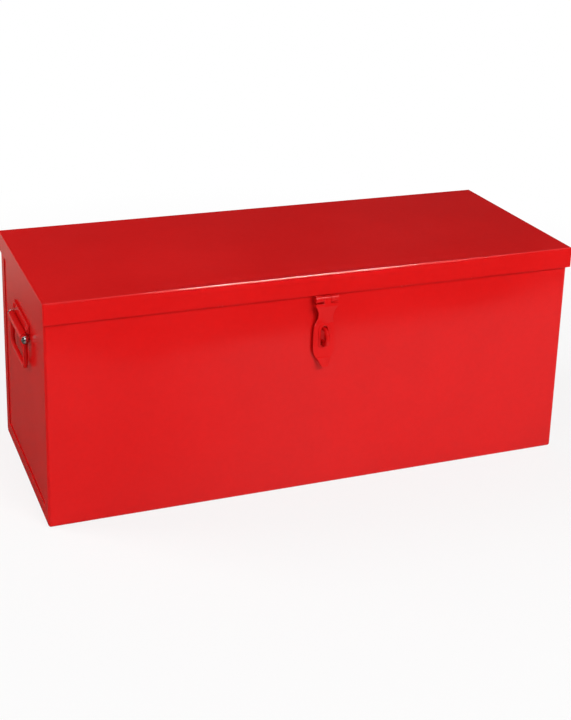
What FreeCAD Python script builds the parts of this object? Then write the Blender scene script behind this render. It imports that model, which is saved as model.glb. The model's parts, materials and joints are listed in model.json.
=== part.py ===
import FreeCAD, Part
import math
import os

V = FreeCAD.Vector

# A sheet-steel site chest with an overlapping hinged lid, a hasp and staple for a
# padlock, and a drop handle on each end. Millimetres. +Z is up, +X runs along the
# chest's length and -Y is its front. The origin is the middle of the bottom face.

# Chest as a whole
chest_length = 700.0
chest_depth = 278.0
chest_height = 292.0

# Folded sheet
body_sheet = 1.2
panel_sheet = 1.2
lid_sheet = 1.2
body_bend_inside = 2.3
panel_bend_inside = 1.5
lid_bend_inside = 0.8
end_return = 20.0
rim_return = 12.0
corner_relief_radius = 1.8
mitre_slit = 0.6

# Lid over body
lid_skirt = 27.0
lid_end_play = 0.8
lid_front_play = 5.8

# Clearances
seat_gap = 0.3
running_play = 0.05
side_play = 0.4
shank_play = 0.1
curl_play = 0.4

# Rear hinge, one long pin through interleaved knuckles
hinge_length = 690.0
hinge_sheet = 1.2
hinge_pin_radius = 1.5
hinge_leaf_height = 20.0
hinge_curl_play = 0.1
hinge_knuckle_count = 27
hinge_rivet_count = 7
hinge_rivet_inset = 20.0
hinge_rivet_radius = 1.6
hinge_rivet_head_radius = 3.2
hinge_rivet_head_height = 1.1
hinge_rivet_tail_radius = 2.4
hinge_rivet_tail_height = 1.2

# Hasp on the lid
hasp_sheet = 2.0
hasp_pin_radius = 2.5
hasp_width = 30.0
hasp_middle_knuckle = 10.0
hasp_leaf_rise = 22.0
hasp_stand_off = 3.7
hasp_shoulder = 4.0
hasp_neck_width = 20.0
hasp_neck_height = 24.0
hasp_leaf_width = 29.0
hasp_joggle_bend = 5.0
hasp_slot_drop = 51.0
hasp_straight_below_slot = 3.0
hasp_taper_height = 12.0
hasp_tip_height = 11.5
hasp_tip_lift = 6.5
hasp_tip_width = 8.4
hasp_fold_width = 19.0
hasp_rim_width = 3.5
hasp_rim_height = 0.8

# Staple on the body
staple_wire_radius = 2.75
staple_eye_radius = 6.5
staple_reach = 9.0
staple_tenon_radius = 2.25
staple_tail_radius = 4.0
staple_tail_height = 1.6
slot_side_play = 1.75
slot_end_play = 1.5

# Drop handles
handle_axis_height = 209.0
handle_sheet = 2.5
handle_pin_radius = 3.0
handle_knuckle_length = 79.0
handle_plate_length = 98.0
handle_plate_rise = 19.0
handle_plate_corner = 4.0
handle_notch_rise = 2.5
handle_head_radius = 5.2
handle_head_height = 3.0
bail_wire_radius = 3.0
bail_eye_radius = 5.2
bail_drop = 39.0
bail_corner_radius = 10.0
handle_rivet_spread = 84.0
handle_rivet_radius = 2.5
handle_rivet_head_radius = 4.2
handle_rivet_head_height = 2.2
handle_rivet_tail_radius = 3.8
handle_rivet_tail_height = 1.6

# Planes and heights that follow from the sizes above
half_length = chest_length / 2
half_depth = chest_depth / 2
front_face = -half_depth
rear_face = half_depth
body_bend_outside = body_bend_inside + body_sheet
lid_bend_outside = lid_bend_inside + lid_sheet
lid_top = chest_height
seam_height = lid_top - lid_skirt
rim_height = lid_top - lid_sheet - seat_gap
lid_front = front_face - lid_front_play - lid_sheet
lid_rear = rear_face
lid_half_length = half_length + lid_end_play + lid_sheet
panel_outer = half_length - body_sheet
panel_inner = panel_outer - panel_sheet
panel_half_depth = half_depth - body_bend_outside - shank_play
panel_bottom = body_bend_outside + shank_play

# Rear hinge barrel, outside the rear face and level with the lid's lower edge
hinge_bore = hinge_pin_radius + running_play
hinge_barrel = hinge_bore + hinge_sheet
hinge_axis_y = rear_face + hinge_barrel
hinge_axis_z = seam_height
hinge_edge_gap = math.sqrt((hinge_barrel + side_play) ** 2 - hinge_barrel ** 2)
rear_wall_height = seam_height - hinge_edge_gap
hinge_notch = hinge_barrel + running_play
hinge_rivet_drop = (hinge_leaf_height + hinge_notch) / 2

# Hasp barrel, just under the lid's front skirt, its leaf behind the skirt
hasp_bore = hasp_pin_radius + running_play
hasp_barrel = hasp_bore + hasp_sheet
hasp_leaf_front = lid_front + lid_sheet
hasp_axis_y = hasp_leaf_front - hasp_bore
hasp_axis_z = seam_height - hasp_barrel - side_play
hasp_notch = hasp_barrel + side_play
hasp_back = front_face - hasp_stand_off
hasp_front = hasp_back - hasp_sheet
slot_height = hasp_axis_z - hasp_slot_drop
slot_half_width = staple_wire_radius + slot_side_play
staple_half_height = staple_eye_radius + 2 * staple_wire_radius
slot_half_height = staple_half_height + slot_end_play

# Handle barrel, standing off the end panel by its own wall
handle_bore = handle_pin_radius + running_play
handle_barrel = handle_bore + handle_sheet
handle_axis_x = panel_outer + handle_barrel
handle_half_knuckle = handle_knuckle_length / 2
handle_rivet_height = handle_axis_height + (handle_barrel + handle_plate_rise) / 2
bail_leg_y = handle_half_knuckle + side_play + bail_wire_radius
bail_outer_y = bail_leg_y + bail_wire_radius


def block(x0, x1, y0, y1, z0, z1):
    """A block between six planes."""
    return Part.makeBox(x1 - x0, y1 - y0, z1 - z0, V(x0, y0, z0))


def rounded(shape, radius, wanted):
    """The shape with each edge whose middle passes the test rounded."""
    picked = [edge for edge in shape.Edges if wanted(edge.CenterOfMass)]
    return shape.makeFillet(radius, picked)


def in_yz(x):
    """Maps the two coordinates of a profile to Y and Z at one X."""
    return lambda p: V(x, p[0], p[1])


def in_xz(y):
    """Maps the two coordinates of a profile to X and Z at one Y."""
    return lambda p: V(p[0], y, p[1])


def outline_face(start, steps, place):
    """A flat face bounded by steps: a step of one point is straight, one of two is an arc."""
    edges = []
    here = start
    for step in steps:
        if len(step) == 1 and math.dist(here, step[0]) < 1e-7:
            continue
        if len(step) == 1:
            curve = Part.LineSegment(place(here), place(step[0]))
        else:
            curve = Part.Arc(place(here), place(step[0]), place(step[1]))
        edges.append(curve.toShape())
        here = step[-1]
    return Part.Face(Part.Wire(edges))


def ribbon_face(points, bend, thickness, place):
    """A sheet seen edge-on: a band along a line of points, with a bend at each inner point."""
    left = []
    right = []
    for k, (px, py) in enumerate(points):
        before = points[max(k - 1, 0)]
        after = points[min(k + 1, len(points) - 1)]
        came = V(px - before[0], py - before[1], 0)
        goes = V(after[0] - px, after[1] - py, 0)
        if k == 0:
            came = goes
        if k == len(points) - 1:
            goes = came
        came.normalize()
        goes.normalize()
        turn = math.atan2(came.x * goes.y - came.y * goes.x, came.dot(goes))
        spot = V(px, py, 0)
        for side, offset in ((left, thickness / 2), (right, -thickness / 2)):
            if abs(turn) < 1e-9:
                side.append([spot + V(-came.y, came.x, 0) * offset])
                continue
            reach = bend * math.tan(abs(turn) / 2)
            way = math.copysign(1.0, turn)
            first = spot - came * reach
            last = spot + goes * reach
            centre = first + V(-came.y, came.x, 0) * (way * bend)
            towards = (spot - centre).normalize()
            side.append([
                first + V(-came.y, came.x, 0) * offset,
                centre + towards * (bend - way * offset),
                last + V(-goes.y, goes.x, 0) * offset,
            ])
    steps = []
    for group in left[1:] + [list(reversed(g)) for g in reversed(right)] + left[:1]:
        flat = [(p.x, p.y) for p in group]
        steps.append([flat[0]])
        if len(flat) == 3:
            steps.append([flat[1], flat[2]])
    start = (left[0][0].x, left[0][0].y)
    return outline_face(start, steps, place)


def rolled_leaf_face(length, bore, barrel, gap, place):
    """A leaf seen end-on: a strip on one side of a pin at the origin, curled round the pin."""
    stop = -math.acos((gap - bore) / barrel)
    middle = (math.pi + stop) / 2

    def ring(radius, angle):
        return (radius * math.cos(angle), radius * math.sin(angle))

    return outline_face(
        (-barrel, -length),
        [
            [(-barrel, 0.0)],
            [ring(barrel, middle), ring(barrel, stop)],
            [ring(bore, stop)],
            [ring(bore, middle), (-bore, 0.0)],
            [(-bore, -length)],
            [(-barrel, -length)],
        ],
        place,
    )


def turned(profile, base, axis):
    """A solid of revolution from (distance along the axis, radius) steps, one or two points each."""
    across = V(0, 0, 1) if abs(axis.z) < 0.5 else V(1, 0, 0)
    face = outline_face(profile[0][0], profile[1:], lambda p: base + axis * p[0] + across * p[1])
    return face.revolve(base, axis, 360)


def cap_middle(base, height, radius):
    """The middle of the arc over a round cap that stands on a base along the axis."""
    ball = (radius ** 2 + height ** 2) / (2 * abs(height))
    half = math.asin(radius / ball) / 2
    way = math.copysign(1.0, height)
    return (base + height - way * ball * (1 - math.cos(half)), ball * math.sin(half))


def rivet(base, axis, grip, radius, head_radius, head_height, tail_radius, tail_height):
    """A rivet with a domed head outside, its shank through the grip and a flatter tail inside."""
    shank_out = (0.0, radius)
    shank_in = (-grip, radius)
    profile = [
        [(head_height, 0.0)],
        [cap_middle(0.0, head_height, head_radius), (0.0, head_radius)],
        [shank_out],
        [shank_in],
        [(-grip, tail_radius)],
        [cap_middle(-grip, -tail_height, tail_radius), (-grip - tail_height, 0.0)],
        [(head_height, 0.0)],
    ]
    return turned(profile, base, axis)


def drill(base, axis, depth, radius):
    """A round hole's cutter that starts one millimetre outside and runs along the axis."""
    return Part.makeCylinder(radius, depth + 2, base - axis, axis)


def tidy(shape):
    """The shape with leftover seams in flat faces taken out."""
    return shape.removeSplitter()


def hinge_rivet_places():
    """The X positions of the rear hinge's rivets, evenly spaced along its leaves."""
    span = hinge_length - 2 * hinge_rivet_inset
    gap = span / (hinge_rivet_count - 1)
    return [-span / 2 + gap * k for k in range(hinge_rivet_count)]


def hinge_spans(first):
    """The knuckle spans of one leaf along X: every second one from the first given."""
    pitch = hinge_length / hinge_knuckle_count
    return [
        (-hinge_length / 2 + pitch * k, -hinge_length / 2 + pitch * (k + 1))
        for k in range(first, hinge_knuckle_count, 2)
    ]


def body_shell():
    """Front, bottom and rear in one folded sheet, with returns over the ends and at the rims."""
    outer = block(-half_length, half_length, front_face, rear_face, 0, rim_height)
    outer = rounded(outer, body_bend_outside, lambda c: c.z < rim_height - 0.01)
    inner = block(
        -half_length + body_sheet,
        half_length - body_sheet,
        front_face + body_sheet,
        rear_face - body_sheet,
        body_sheet,
        rim_height + 5,
    )
    inner = rounded(inner, body_bend_inside, lambda c: c.z < rim_height)
    pan = outer.cut(inner)
    window_y = half_depth - end_return
    reach = body_bend_outside
    cutters = [
        block(-half_length - 1, -half_length + reach, -window_y, window_y, end_return, rim_height + 1),
        block(half_length - reach, half_length + 1, -window_y, window_y, end_return, rim_height + 1),
        block(
            -half_length - 1, half_length + 1, window_y - 1, rear_face + 1,
            rear_wall_height, rim_height + 1,
        ),
    ]
    for side in (-1, 1):
        for end in (-1, 1):
            cutters.append(corner_relief(end, side))
    front_span = panel_outer - rim_return - side_play
    rear_span = panel_inner - side_play
    cutters.append(
        block(-front_span, front_span, front_face - 1, front_face + body_bend_outside,
              rim_height - body_bend_outside, rim_height + 1)
    )
    cutters.append(
        block(-rear_span, rear_span, rear_face - body_bend_outside, rear_face + 1,
              rear_wall_height - body_bend_outside, rear_wall_height + 1)
    )
    for x in hinge_rivet_places():
        hole = V(x, rear_face, hinge_axis_z - hinge_rivet_drop)
        cutters.append(drill(hole, V(0, -1, 0), body_sheet, hinge_rivet_radius + shank_play))
    for z in staple_leg_heights():
        hole = V(0, front_face, z)
        cutters.append(drill(hole, V(0, 1, 0), body_sheet, staple_tenon_radius + shank_play))
    pan = pan.cut(cutters)
    front_rim = rim_fold(front_face, 1, rim_height, front_span)
    rear_rim = rim_fold(rear_face, -1, rear_wall_height, rear_span)
    return tidy(pan.fuse([front_rim, rear_rim]))


def rim_fold(face_y, inward, top, half_span):
    """The bend and return along a wall's top edge, folded towards the inside."""
    mid = body_sheet / 2
    points = [
        (face_y + inward * mid, top - body_bend_outside),
        (face_y + inward * mid, top - mid),
        (face_y + inward * rim_return, top - mid),
    ]
    face = ribbon_face(points, body_bend_inside + mid, body_sheet, in_yz(-half_span))
    return face.extrude(V(2 * half_span, 0, 0))


def corner_relief(end, side):
    """The mitre slit and relief hole where a bottom return meets an upright one."""
    corner_y = side * half_depth
    x0 = end * (half_length + 1)
    depth = 1 + body_bend_outside
    start = x0 if end < 0 else x0 - depth
    inset = body_bend_outside
    hole = Part.makeCylinder(
        corner_relief_radius, depth, V(start, corner_y - side * inset, inset), V(1, 0, 0)
    )
    run = (end_return - inset) * math.sqrt(2) + mitre_slit
    slit = Part.makeBox(depth, mitre_slit, run, V(start, -mitre_slit / 2, 0))
    slit.rotate(V(start, 0, 0), V(1, 0, 0), side * 45)
    slit.translate(V(0, corner_y - side * inset, inset))
    return hole.fuse(slit)


def end_panel():
    """The left end: a flat panel behind the body's returns, its top edge folded inwards."""
    mid = panel_sheet / 2
    points = [
        (-panel_outer + mid, panel_bottom),
        (-panel_outer + mid, rim_height - mid),
        (-panel_outer + rim_return, rim_height - mid),
    ]
    face = ribbon_face(points, panel_bend_inside + mid, panel_sheet, in_xz(-panel_half_depth))
    panel = face.extrude(V(0, 2 * panel_half_depth, 0))
    holes = [
        drill(V(-panel_outer, y, handle_rivet_height), V(1, 0, 0), panel_sheet,
              handle_rivet_radius + shank_play)
        for y in handle_rivet_places()
    ]
    return panel.cut(holes)


def lid_shell():
    """The lid: a flat top with a skirt folded down on all four sides."""
    outer = block(-lid_half_length, lid_half_length, lid_front, lid_rear, seam_height, lid_top)
    outer = rounded(outer, lid_bend_outside, lambda c: c.z > seam_height + 0.01)
    inner = block(
        -lid_half_length + lid_sheet,
        lid_half_length - lid_sheet,
        lid_front + lid_sheet,
        lid_rear - lid_sheet,
        seam_height - 5,
        lid_top - lid_sheet,
    )
    inner = rounded(inner, lid_bend_inside, lambda c: c.z > seam_height - 4.9)
    shell = outer.cut(inner)
    clear = lid_half_length - lid_bend_outside
    cutters = [
        block(-clear, clear, lid_rear - lid_bend_outside, lid_rear + 1,
              seam_height - 1, seam_height + hinge_edge_gap)
    ]
    for x in hinge_rivet_places():
        hole = V(x, lid_rear, hinge_axis_z + hinge_rivet_drop)
        cutters.append(drill(hole, V(0, -1, 0), lid_sheet, hinge_rivet_radius + shank_play))
    return shell.cut(cutters)


def hinge_leaf(up, own_first, other_first):
    """One leaf of the rear hinge: a strip with every second knuckle of the barrel."""
    face = rolled_leaf_face(
        hinge_leaf_height, hinge_bore, hinge_barrel, hinge_curl_play,
        lambda p: V(-hinge_length / 2, hinge_axis_y + p[0], hinge_axis_z - up * p[1]),
    )
    leaf = face.extrude(V(hinge_length, 0, 0))
    far = hinge_barrel + 1
    low, high = (-far, hinge_notch) if up > 0 else (-hinge_notch, far)
    cutters = []
    for x0, x1 in hinge_spans(other_first):
        cutters.append(
            block(x0 - side_play / 2, x1 + side_play / 2, hinge_axis_y - far, hinge_axis_y + far,
                  hinge_axis_z + low, hinge_axis_z + high)
        )
    for x in hinge_rivet_places():
        hole = V(x, rear_face + hinge_sheet, hinge_axis_z + up * hinge_rivet_drop)
        cutters.append(drill(hole, V(0, -1, 0), hinge_sheet, hinge_rivet_radius + shank_play))
    return leaf.cut(cutters)


def hinge_pin():
    """The long wire that joins the rear hinge's two leaves."""
    start = V(-hinge_length / 2, hinge_axis_y, hinge_axis_z)
    return Part.makeCylinder(hinge_pin_radius, hinge_length, start, V(1, 0, 0))


def hinge_rivets(up, sheet):
    """The row of rivets that holds one hinge leaf to its sheet."""
    solids = []
    for x in hinge_rivet_places():
        base = V(x, rear_face + hinge_sheet, hinge_axis_z + up * hinge_rivet_drop)
        solids.append(
            rivet(base, V(0, 1, 0), hinge_sheet + sheet, hinge_rivet_radius,
                  hinge_rivet_head_radius, hinge_rivet_head_height,
                  hinge_rivet_tail_radius, hinge_rivet_tail_height)
        )
    return Part.makeCompound(solids)


def hasp_fixed_leaf():
    """The hasp's hidden leaf behind the lid's skirt, with the two outer knuckles."""
    face = rolled_leaf_face(
        hasp_leaf_rise, hasp_bore, hasp_barrel, curl_play,
        lambda p: V(-hasp_width / 2, hasp_axis_y - p[0], hasp_axis_z - p[1]),
    )
    leaf = face.extrude(V(hasp_width, 0, 0))
    half = hasp_middle_knuckle / 2
    far = hasp_barrel + 1
    middle = block(-half, half, hasp_axis_y - far, hasp_axis_y + far,
                   hasp_axis_z - far, hasp_axis_z + hasp_notch)
    leaf = leaf.cut(middle)
    top = hasp_axis_z + hasp_leaf_rise
    return rounded(leaf, hasp_sheet, lambda c: abs(c.x) > hasp_width / 2 - 0.01 and c.z > top - 0.01)


def hasp_profile():
    """The strap seen end-on: middle curl, joggle back towards the body, leaf and lifted tip."""
    mid = hasp_bore + hasp_sheet / 2
    leaf_y = hasp_front + hasp_sheet / 2 - hasp_axis_y
    neck_top = -hasp_notch - hasp_shoulder
    neck_bottom = neck_top - hasp_neck_height
    fold = leaf_bottom() - hasp_taper_height
    points = [
        (-mid, 0.0),
        (-mid, neck_top),
        (leaf_y, neck_bottom),
        (leaf_y, fold),
        (leaf_y - hasp_tip_lift, fold - hasp_tip_height),
    ]
    place = lambda p: V(-hasp_width / 2, hasp_axis_y + p[0], hasp_axis_z + p[1])
    strip = ribbon_face(points, hasp_joggle_bend, hasp_sheet, place)
    curl = rolled_leaf_face(hasp_sheet, hasp_bore, hasp_barrel, curl_play, place)
    across = V(hasp_width, 0, 0)
    return strip.extrude(across).fuse(curl.extrude(across))


def leaf_bottom():
    """Where the hasp's straight leaf ends, measured down from its pin."""
    return -hasp_slot_drop - slot_half_height - hasp_straight_below_slot


def hasp_outline():
    """The strap seen from the front: shoulders, waisted neck, broad leaf and tapered tip."""
    top = -hasp_notch
    neck_top = top - hasp_shoulder
    neck_bottom = neck_top - hasp_neck_height
    narrow = (neck_top + neck_bottom) / 2
    low = leaf_bottom()
    fold = low - hasp_taper_height
    tip = fold - hasp_tip_height
    shoulder = hasp_width / 2
    neck = hasp_neck_width / 2
    leaf = hasp_leaf_width / 2
    folded = hasp_fold_width / 2
    blunt = hasp_tip_width / 2
    swell = neck_bottom - hasp_neck_height / 2
    join = (neck + leaf) / 2 + (leaf - neck) * 0.12
    cheek = (leaf * 0.66 + folded * 0.34, low - hasp_taper_height * 0.58)
    right = [
        [(shoulder, neck_top)],
        [(neck, narrow), (join, neck_bottom)],
        [(leaf - (leaf - join) * 0.22, (neck_bottom + swell) / 2), (leaf, swell)],
        [(leaf, low)],
        [cheek, (folded, fold)],
        [(blunt, tip + blunt * 0.3)],
        [(0.0, tip), (-blunt, tip + blunt * 0.3)],
    ]
    left = [
        [(-folded, fold)],
        [(-cheek[0], cheek[1]), (-leaf, low)],
        [(-leaf, swell)],
        [(-leaf + (leaf - join) * 0.22, (neck_bottom + swell) / 2), (-join, neck_bottom)],
        [(-neck, narrow), (-shoulder, neck_top)],
        [(-shoulder, top)],
        [(shoulder, top)],
    ]
    place = lambda p: V(p[0], hasp_axis_y - 40, hasp_axis_z + p[1])
    face = outline_face((shoulder, top), right + left, place)
    tongue_half = hasp_middle_knuckle / 2 - side_play
    tongue = block(-tongue_half, tongue_half, hasp_axis_y - 40, hasp_axis_y + 40,
                   hasp_axis_z + top - 0.5, hasp_axis_z + hasp_barrel + 1)
    return face.extrude(V(0, 80, 0)).fuse(tongue)


def long_hole(half_width, half_height, y0, y1):
    """A block with round ends, upright, centred on the slot."""
    centre = half_height - half_width
    body = block(-half_width, half_width, y0, y1, slot_height - centre, slot_height + centre)
    ends = [
        Part.makeCylinder(half_width, y1 - y0, V(0, y0, slot_height + way * centre), V(0, 1, 0))
        for way in (-1, 1)
    ]
    return body.fuse(ends)


def hasp_strap():
    """The swinging strap of the hasp, with a pressed rim round its slot."""
    strap = hasp_profile().common(hasp_outline())
    rim = long_hole(slot_half_width + hasp_rim_width, slot_half_height + hasp_rim_width,
                    hasp_front - hasp_rim_height, hasp_front + hasp_sheet / 2)
    edge_y = hasp_front - hasp_rim_height
    rim = rounded(tidy(rim), hasp_rim_height * 0.6, lambda c: c.y < edge_y + 0.01)
    strap = strap.fuse(rim)
    slot = long_hole(slot_half_width, slot_half_height, hasp_front - 5, hasp_back + 5)
    return tidy(strap.cut(slot))


def hasp_pin():
    """The hasp's pin, its ends slightly domed."""
    half = hasp_width / 2
    dome = hasp_pin_radius * 0.3
    profile = [
        [(-half - dome, 0.0)],
        [cap_middle(-half, -dome, hasp_pin_radius), (-half, hasp_pin_radius)],
        [(half, hasp_pin_radius)],
        [cap_middle(half, dome, hasp_pin_radius), (half + dome, 0.0)],
        [(-half - dome, 0.0)],
    ]
    return turned(profile, V(0, hasp_axis_y, hasp_axis_z), V(1, 0, 0))


def staple_leg_heights():
    """The heights of the staple's two legs."""
    spread = staple_eye_radius + staple_wire_radius
    return [slot_height - spread, slot_height + spread]


def staple():
    """The loop that stands through the hasp's slot, tenoned through the front and riveted over."""
    low, high = staple_leg_heights()
    turn_y = hasp_front - (staple_reach - staple_eye_radius)
    spread = (high - low) / 2
    nose = turn_y - spread
    path = Part.Wire([
        Part.LineSegment(V(0, front_face, low), V(0, turn_y, low)).toShape(),
        Part.Arc(V(0, turn_y, low), V(0, nose, slot_height), V(0, turn_y, high)).toShape(),
        Part.LineSegment(V(0, turn_y, high), V(0, front_face, high)).toShape(),
    ])
    ring = Part.Wire([Part.makeCircle(staple_wire_radius, V(0, front_face, low), V(0, 1, 0))])
    loop = path.makePipeShell([ring], True, False)
    inner_face = front_face + body_sheet
    tenons = []
    for z in (low, high):
        tenons.append(
            Part.makeCylinder(staple_tenon_radius, body_sheet, V(0, front_face, z), V(0, 1, 0))
        )
        tenons.append(
            Part.makeCone(staple_tail_radius, staple_tail_radius * 0.6, staple_tail_height,
                          V(0, inner_face, z), V(0, 1, 0))
        )
    return loop.fuse(tenons)


def handle_rivet_places():
    """The Y positions of a handle bracket's rivets."""
    return [-handle_rivet_spread / 2, handle_rivet_spread / 2]


def handle_bracket():
    """The left handle's bracket: a riveted plate, its lower edge rolled into a long knuckle."""
    half = handle_plate_length / 2
    face = rolled_leaf_face(
        handle_plate_rise, handle_bore, handle_barrel, curl_play,
        lambda p: V(-handle_axis_x - p[0], -half, handle_axis_height - p[1]),
    )
    bracket = face.extrude(V(0, 2 * half, 0))
    top = handle_axis_height + handle_plate_rise
    bracket = rounded(
        bracket, handle_plate_corner, lambda c: abs(c.y) > half - 0.01 and c.z > top - 0.01
    )
    far = handle_barrel + 1
    notch = handle_axis_height + handle_barrel + handle_notch_rise
    cutters = []
    for way in (-1, 1):
        ends = sorted((way * handle_half_knuckle, way * (half + 1)))
        cutters.append(
            block(-handle_axis_x - far, -handle_axis_x + far, ends[0], ends[1],
                  handle_axis_height - far, notch)
        )
    for y in handle_rivet_places():
        hole = V(-panel_outer - handle_sheet, y, handle_rivet_height)
        cutters.append(drill(hole, V(1, 0, 0), handle_sheet, handle_rivet_radius + shank_play))
    return bracket.cut(cutters)


def handle_pin():
    """The left handle's pivot, a bright steel rod with a domed head beyond each eye."""
    inner = bail_outer_y + side_play
    outer = inner + handle_head_height
    shoulder = inner + handle_head_height * 0.35
    dome = outer - shoulder
    profile = [
        [(-outer, 0.0)],
        [cap_middle(-shoulder, -dome, handle_head_radius), (-shoulder, handle_head_radius)],
        [(-inner, handle_head_radius)],
        [(-inner, handle_pin_radius)],
        [(inner, handle_pin_radius)],
        [(inner, handle_head_radius)],
        [(shoulder, handle_head_radius)],
        [cap_middle(shoulder, dome, handle_head_radius), (outer, 0.0)],
        [(-outer, 0.0)],
    ]
    return turned(profile, V(-handle_axis_x, 0, handle_axis_height), V(0, 1, 0))


def handle_bail():
    """The left handle's bail: a bent wire with a forged eye at each end, hanging on the pin."""
    x = -handle_axis_x
    top = handle_axis_height
    low = top - bail_drop
    bend = bail_corner_radius
    skew = bend * (1 - math.sqrt(0.5))
    leg = bail_leg_y
    path = Part.Wire([
        Part.LineSegment(V(x, leg, top), V(x, leg, low + bend)).toShape(),
        Part.Arc(V(x, leg, low + bend), V(x, leg - skew, low + skew), V(x, leg - bend, low)).toShape(),
        Part.LineSegment(V(x, leg - bend, low), V(x, bend - leg, low)).toShape(),
        Part.Arc(V(x, bend - leg, low), V(x, skew - leg, low + skew), V(x, -leg, low + bend)).toShape(),
        Part.LineSegment(V(x, -leg, low + bend), V(x, -leg, top)).toShape(),
    ])
    ring = Part.Wire([Part.makeCircle(bail_wire_radius, V(x, leg, top), V(0, 0, 1))])
    bail = path.makePipeShell([ring], True, False)
    eyes = []
    bores = []
    for way in (-1, 1):
        start = V(x, way * leg - bail_wire_radius, top)
        eyes.append(
            Part.makeCylinder(bail_eye_radius, 2 * bail_wire_radius, start, V(0, 1, 0))
        )
        bores.append(
            Part.makeCylinder(handle_bore, 2 * bail_wire_radius + 2, start - V(0, 1, 0), V(0, 1, 0))
        )
    return bail.fuse(eyes).cut(bores)


def handle_rivets():
    """The two rivets that hold the left handle's bracket to the end panel."""
    solids = []
    for y in handle_rivet_places():
        base = V(-panel_outer - handle_sheet, y, handle_rivet_height)
        solids.append(
            rivet(base, V(-1, 0, 0), handle_sheet + panel_sheet, handle_rivet_radius,
                  handle_rivet_head_radius, handle_rivet_head_height,
                  handle_rivet_tail_radius, handle_rivet_tail_height)
        )
    return Part.makeCompound(solids)


def other_end(shape):
    """A left-hand piece turned half round the upright axis, for the right end."""
    copy = shape.copy()
    copy.rotate(V(0, 0, 0), V(0, 0, 1), 180)
    return copy


def build():
    """Every piece of the chest by name."""
    pieces = {
        "body_shell": body_shell(),
        "end_panel_left": end_panel(),
        "lid_shell": lid_shell(),
        "hinge_body_leaf": hinge_leaf(-1, 0, 1),
        "hinge_lid_leaf": hinge_leaf(1, 1, 0),
        "hinge_pin": hinge_pin(),
        "hinge_body_rivets": hinge_rivets(-1, body_sheet),
        "hinge_lid_rivets": hinge_rivets(1, lid_sheet),
        "hasp_fixed_leaf": hasp_fixed_leaf(),
        "hasp_strap": hasp_strap(),
        "hasp_pin": hasp_pin(),
        "staple": staple(),
        "handle_bracket_left": handle_bracket(),
        "handle_pin_left": handle_pin(),
        "handle_bail_left": handle_bail(),
        "handle_rivets_left": handle_rivets(),
    }
    for name in [n for n in pieces if n.endswith("_left")]:
        pieces[name.replace("_left", "_right")] = other_end(pieces[name])
    return pieces


def main():
    """Writes one file per piece and says how large and sound each is."""
    os.makedirs("parts", exist_ok=True)
    for name, shape in build().items():
        shape.exportStep(os.path.join("parts", name + ".step"))
        box = shape.BoundBox
        print(
            name, len(shape.Solids), "solids", shape.isValid(), round(shape.Volume, 1),
            "X", round(box.XMin, 1), round(box.XMax, 1),
            "Y", round(box.YMin, 1), round(box.YMax, 1),
            "Z", round(box.ZMin, 1), round(box.ZMax, 1),
        )


main()
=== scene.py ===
import json
import math

import bmesh
import bpy
import numpy as np
from mathutils.bvhtree import BVHTree
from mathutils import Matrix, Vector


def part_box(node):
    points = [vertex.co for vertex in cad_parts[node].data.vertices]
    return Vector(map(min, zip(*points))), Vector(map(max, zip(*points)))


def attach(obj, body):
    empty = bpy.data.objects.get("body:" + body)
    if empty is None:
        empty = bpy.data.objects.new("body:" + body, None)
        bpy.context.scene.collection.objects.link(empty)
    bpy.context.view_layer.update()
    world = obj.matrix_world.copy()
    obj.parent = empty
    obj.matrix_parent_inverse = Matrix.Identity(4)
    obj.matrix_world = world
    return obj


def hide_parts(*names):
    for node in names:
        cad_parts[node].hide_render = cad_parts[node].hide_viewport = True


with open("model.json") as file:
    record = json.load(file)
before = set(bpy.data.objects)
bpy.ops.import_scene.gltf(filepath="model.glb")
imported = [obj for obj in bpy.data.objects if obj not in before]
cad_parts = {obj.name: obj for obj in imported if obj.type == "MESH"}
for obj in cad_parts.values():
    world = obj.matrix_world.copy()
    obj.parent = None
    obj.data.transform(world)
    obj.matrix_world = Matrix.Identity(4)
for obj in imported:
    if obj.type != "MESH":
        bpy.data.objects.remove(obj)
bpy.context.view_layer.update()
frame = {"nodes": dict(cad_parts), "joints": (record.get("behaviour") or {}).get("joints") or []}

bl_info = {
    "name": "Steel site chest",
    "version": (1, 0, 0),
    "blender": (4, 5, 0),
    "location": "3D View > Sidebar > Site Chest",
    "description": "Gives a folded steel chest its enamel, soft edges, fittings and studio",
    "category": "Object",
}

MM = 0.001
ROUND = 48
WELD = 0.002 * MM
STEP = 0.01 * MM
SHEET = 1.2 * MM


# Sizes read from the frame


def solid(name):
    """The solid of that name; a frame without it stops the step."""
    if name not in frame["nodes"]:
        raise RuntimeError("The frame has no solid called " + name)
    return frame["nodes"][name]


def low_high(name):
    """The solid's two box corners as arrays, in metres."""
    low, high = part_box(name)
    return np.array(low), np.array(high)


def pivot_of(name):
    """The point that the joint's axis runs through."""
    for joint in frame["joints"]:
        if joint["name"] == name:
            return joint["pos_m"]
    raise RuntimeError("The frame has no joint called " + name)


# Settings


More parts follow.
